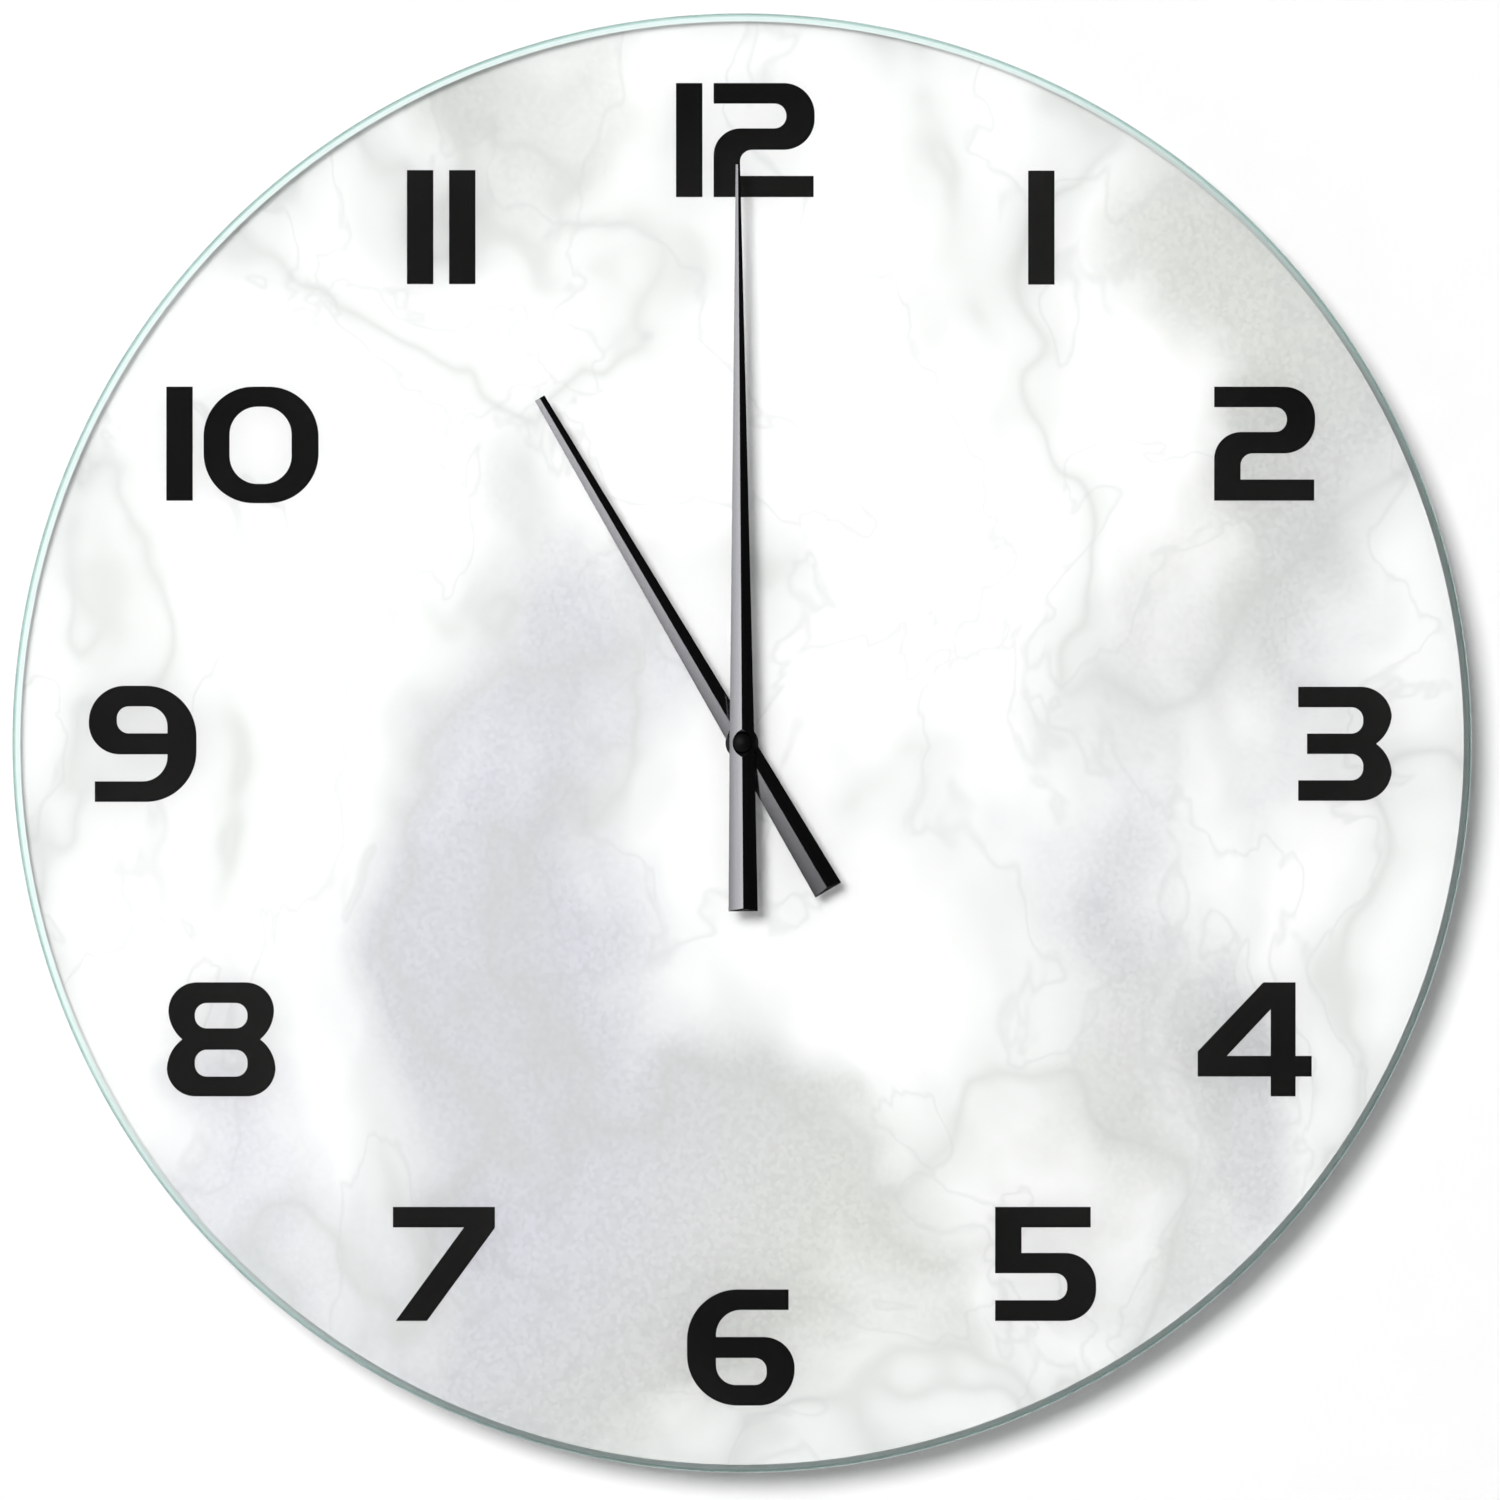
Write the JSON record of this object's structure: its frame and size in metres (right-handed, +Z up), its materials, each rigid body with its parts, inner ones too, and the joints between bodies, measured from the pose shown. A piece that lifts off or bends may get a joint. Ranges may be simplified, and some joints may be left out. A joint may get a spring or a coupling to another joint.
{
  "type": "wall clock",
  "caption": "Frameless round glass wall clock with a printed back, ridge-folded counterweighted hands and a battery quartz movement that hangs by a moulded eye.",
  "frame": {"origin": "where the axis of the hands meets the wall plane, on the back of the movement", "axes": "+Z up to 12 o'clock, +Y into the wall, the face looks along -Y, +X to the right as seen from the front"},
  "size_m": [0.5999, 0.0324, 0.6],
  "materials": {
    "clear_glass": "polished tempered float glass, faint green",
    "face_print": "matt print on white film",
    "case_plastic": "fine moulded texture, black",
    "plate_plastic": "natural moulded plastic",
    "gear_plastic": "natural acetal, slightly waxy",
    "screw_steel": "zinc plated",
    "gasket_rubber": "black rubber",
    "nut_brass": "turned brass",
    "contact_steel": "nickel plated spring strip",
    "board_laminate": "phenolic board",
    "chip_epoxy": "black epoxy",
    "motor_iron": "rolled soft iron",
    "magnet_ferrite": "ferrite",
    "winding_copper": "enamelled copper wire",
    "hand_aluminium": "black anodised, fine lengthwise brushing",
    "bushing_black": "blackened brass",
    "cell_jacket": "printed jacket, plain"
  },
  "bodies": {
    "clock": {"glass_face": "clear_glass", "printed_film": "face_print", "front_case": "case_plastic", "back_cover": "case_plastic", "cover_screws": "screw_steel", "train_plate": "plate_plastic", "rubber_gasket": "gasket_rubber", "post_washer": "nut_brass", "post_nut": "nut_brass", "positive_contact": "contact_steel", "negative_contact": "contact_steel", "circuit_board": "board_laminate", "control_chip": "chip_epoxy", "quartz_crystal": "screw_steel", "coil_bobbin": "plate_plastic", "coil_winding": "winding_copper", "coil_core": "motor_iron", "stator": "motor_iron"},
    "minute_group": {"minute_hand": "hand_aluminium", "minute_hand_bushing": "bushing_black", "cap_nut": "bushing_black", "minute_pipe": "nut_brass", "clutch_spring": "contact_steel"},
    "hour_group": {"hour_hand": "hand_aluminium", "hour_hand_bushing": "bushing_black", "hour_wheel": "gear_plastic"},
    "minute_wheel_group": {"minute_wheel": "gear_plastic"},
    "knob_group": {"setting_knob": "case_plastic"},
    "third_group": {"third_wheel": "gear_plastic"},
    "centre_group": {"centre_wheel": "nut_brass"},
    "seconds_group": {"seconds_wheel": "gear_plastic"},
    "intermediate_group": {"intermediate_wheel": "gear_plastic"},
    "rotor_group": {"rotor_pinion": "gear_plastic", "rotor_magnet": "magnet_ferrite"},
    "battery_group": {"battery": "cell_jacket"}
  },
  "joints": [
    {"name": "minute_turn", "type": "hinge", "parent": "clock", "child": "minute_group", "pos_m": [0, -0.02, 0], "axis": [0, 1, 0], "continuous": true},
    {"name": "hour_turn", "type": "hinge", "parent": "clock", "child": "hour_group", "pos_m": [0, -0.02, 0], "axis": [0, 1, 0], "continuous": true},
    {"name": "minute_wheel_turn", "type": "hinge", "parent": "clock", "child": "minute_wheel_group", "pos_m": [-0.00636, -0.011, 0.00636], "axis": [0, 1, 0], "continuous": true},
    {"name": "knob_turn", "type": "hinge", "parent": "clock", "child": "knob_group", "pos_m": [-0.01482, -0.008, 0.00944], "axis": [0, 1, 0], "continuous": true},
    {"name": "third_turn", "type": "hinge", "parent": "clock", "child": "third_group", "pos_m": [0.00601, -0.008, 0.00601], "axis": [0, 1, 0], "continuous": true},
    {"name": "centre_turn", "type": "hinge", "parent": "clock", "child": "centre_group", "pos_m": [0, -0.01, 0], "axis": [0, 1, 0], "continuous": true},
    {"name": "seconds_turn", "type": "hinge", "parent": "clock", "child": "seconds_group", "pos_m": [0, -0.008, 0], "axis": [0, 1, 0], "continuous": true},
    {"name": "intermediate_turn", "type": "hinge", "parent": "clock", "child": "intermediate_group", "pos_m": [0.0072, -0.004, 0], "axis": [0, 1, 0], "continuous": true},
    {"name": "rotor_turn", "type": "hinge", "parent": "clock", "child": "rotor_group", "pos_m": [0.01378, -0.004, 0.00239], "axis": [0, 1, 0], "continuous": true},
    {"name": "battery_slide", "type": "slide", "parent": "clock", "child": "battery_group", "axis": [0, 1, 0], "range_m": [0, 0.02]}
  ],
  "couplings": [
    {"joint": "hour_turn", "follows": "minute_turn", "ratio": 0.083333},
    {"joint": "minute_wheel_turn", "follows": "minute_turn", "ratio": -0.33333},
    {"joint": "knob_turn", "follows": "minute_turn", "ratio": 1},
    {"joint": "centre_turn", "follows": "third_turn", "ratio": -0.125},
    {"joint": "seconds_turn", "follows": "third_turn", "ratio": -7.5},
    {"joint": "intermediate_turn", "follows": "third_turn", "ratio": 37.5},
    {"joint": "rotor_turn", "follows": "third_turn", "ratio": -225}
  ]
}
